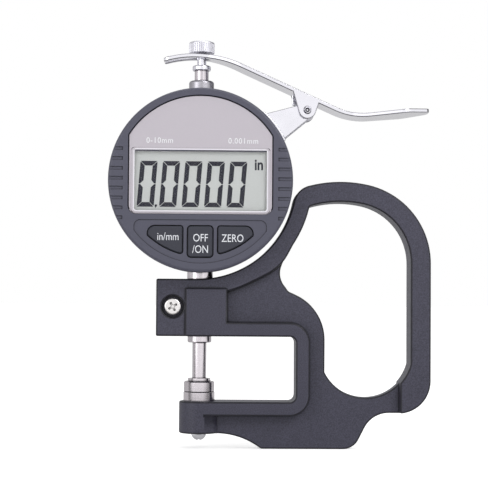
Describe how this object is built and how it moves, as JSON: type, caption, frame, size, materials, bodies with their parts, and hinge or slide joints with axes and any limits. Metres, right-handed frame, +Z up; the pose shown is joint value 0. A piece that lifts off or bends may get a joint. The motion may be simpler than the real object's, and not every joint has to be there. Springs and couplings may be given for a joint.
{
  "type": "digital thickness gauge",
  "caption": "Hand-held thickness gauge: round digital indicator on a cast C-frame with a finger loop, a fixed anvil, a spindle lifted by a thumb lever, and three keys.",
  "frame": {"origin": "on the spindle axis, on the top face of the anvil where the contact point meets it", "axes": "+Z up along the spindle, towards the lifting knob; +X from the spindle towards the handle; -Y towards the side with the display"},
  "size_m": [0.0995, 0.0241, 0.1264],
  "materials": {
    "frame_enamel": "dark grey-blue fine-textured enamel on cast metal",
    "ground_steel": "ground and lapped steel",
    "bright_plate": "bright nickel plate",
    "satin_plate": "satin nickel plate",
    "polished_lever": "polished stainless strip",
    "spring_steel": "spring wire and strip",
    "case_plastic": "dark moulded case, fine matt grain",
    "bezel_plastic": "dark moulded bezel, satin",
    "key_plastic": "dark moulded key caps",
    "face_silver": "silver printed plate",
    "clear_window": "clear window",
    "display_glass": "grey display, dark digits",
    "mat_rubber": "silicone mat",
    "board_laminate": "printed laminate",
    "brass_rail": "machined brass",
    "inner_plastic": "plain moulded",
    "cell_steel": "coin cell can"
  },
  "bodies": {
    "gauge": {"frame": "frame_enamel", "anvil": "ground_steel", "anvil_screw": "bright_plate", "clamp_screw": "bright_plate", "stem": "ground_steel", "lower_bush": "ground_steel", "top_bush": "satin_plate", "rear_housing": "case_plastic", "back_cover": "case_plastic", "back_cover_screws": "bright_plate", "battery_cover": "case_plastic", "battery": "cell_steel", "battery_contact": "spring_steel", "battery_holder": "inner_plastic", "front_bezel": "bezel_plastic", "face_plate": "face_silver", "lcd_window": "clear_window", "lcd_panel": "display_glass", "keypad_mat": "mat_rubber", "circuit_board": "board_laminate", "sensor_board": "board_laminate", "guide_rail": "brass_rail", "spindle_spring": "spring_steel", "lever_bracket": "bright_plate", "bracket_screws": "bright_plate", "lever_pin": "bright_plate", "lever_spring": "spring_steel"},
    "spindle_set": {"spindle": "ground_steel", "contact_point": "ground_steel", "lift_stud": "satin_plate", "lift_knob": "satin_plate", "scale_carrier": "inner_plastic", "scale_strip": "board_laminate", "guide_pin": "ground_steel"},
    "lever": {"lever": "polished_lever"},
    "unit_key": {"unit_button": "key_plastic"},
    "power_key": {"power_button": "key_plastic"},
    "zero_key": {"zero_button": "key_plastic"}
  },
  "joints": [
    {"name": "spindle_slide", "type": "slide", "parent": "gauge", "child": "spindle_set", "axis": [0, 0, 1], "range_m": [0, 0.01], "stiffness_N_per_m": 60, "springref_m": -0.02, "deforming": ["spindle_spring"]},
    {"name": "lever_pivot", "type": "hinge", "parent": "gauge", "child": "lever", "pos_m": [0.03284, 0, 0.08719], "axis": [0, 1, 0], "range_deg": [0, 15.3]},
    {"name": "unit_press", "type": "slide", "parent": "gauge", "child": "unit_key", "axis": [0, 1, 0], "range_m": [0, 0.0005], "stiffness_N_per_m": 1500},
    {"name": "power_press", "type": "slide", "parent": "gauge", "child": "power_key", "axis": [0, 1, 0], "range_m": [0, 0.0005], "stiffness_N_per_m": 1500},
    {"name": "zero_press", "type": "slide", "parent": "gauge", "child": "zero_key", "axis": [0, 1, 0], "range_m": [0, 0.0005], "stiffness_N_per_m": 1500}
  ],
  "couplings": [
    {"joint": "lever_pivot", "follows": "spindle_slide", "rad_per_m": 26.5}
  ]
}
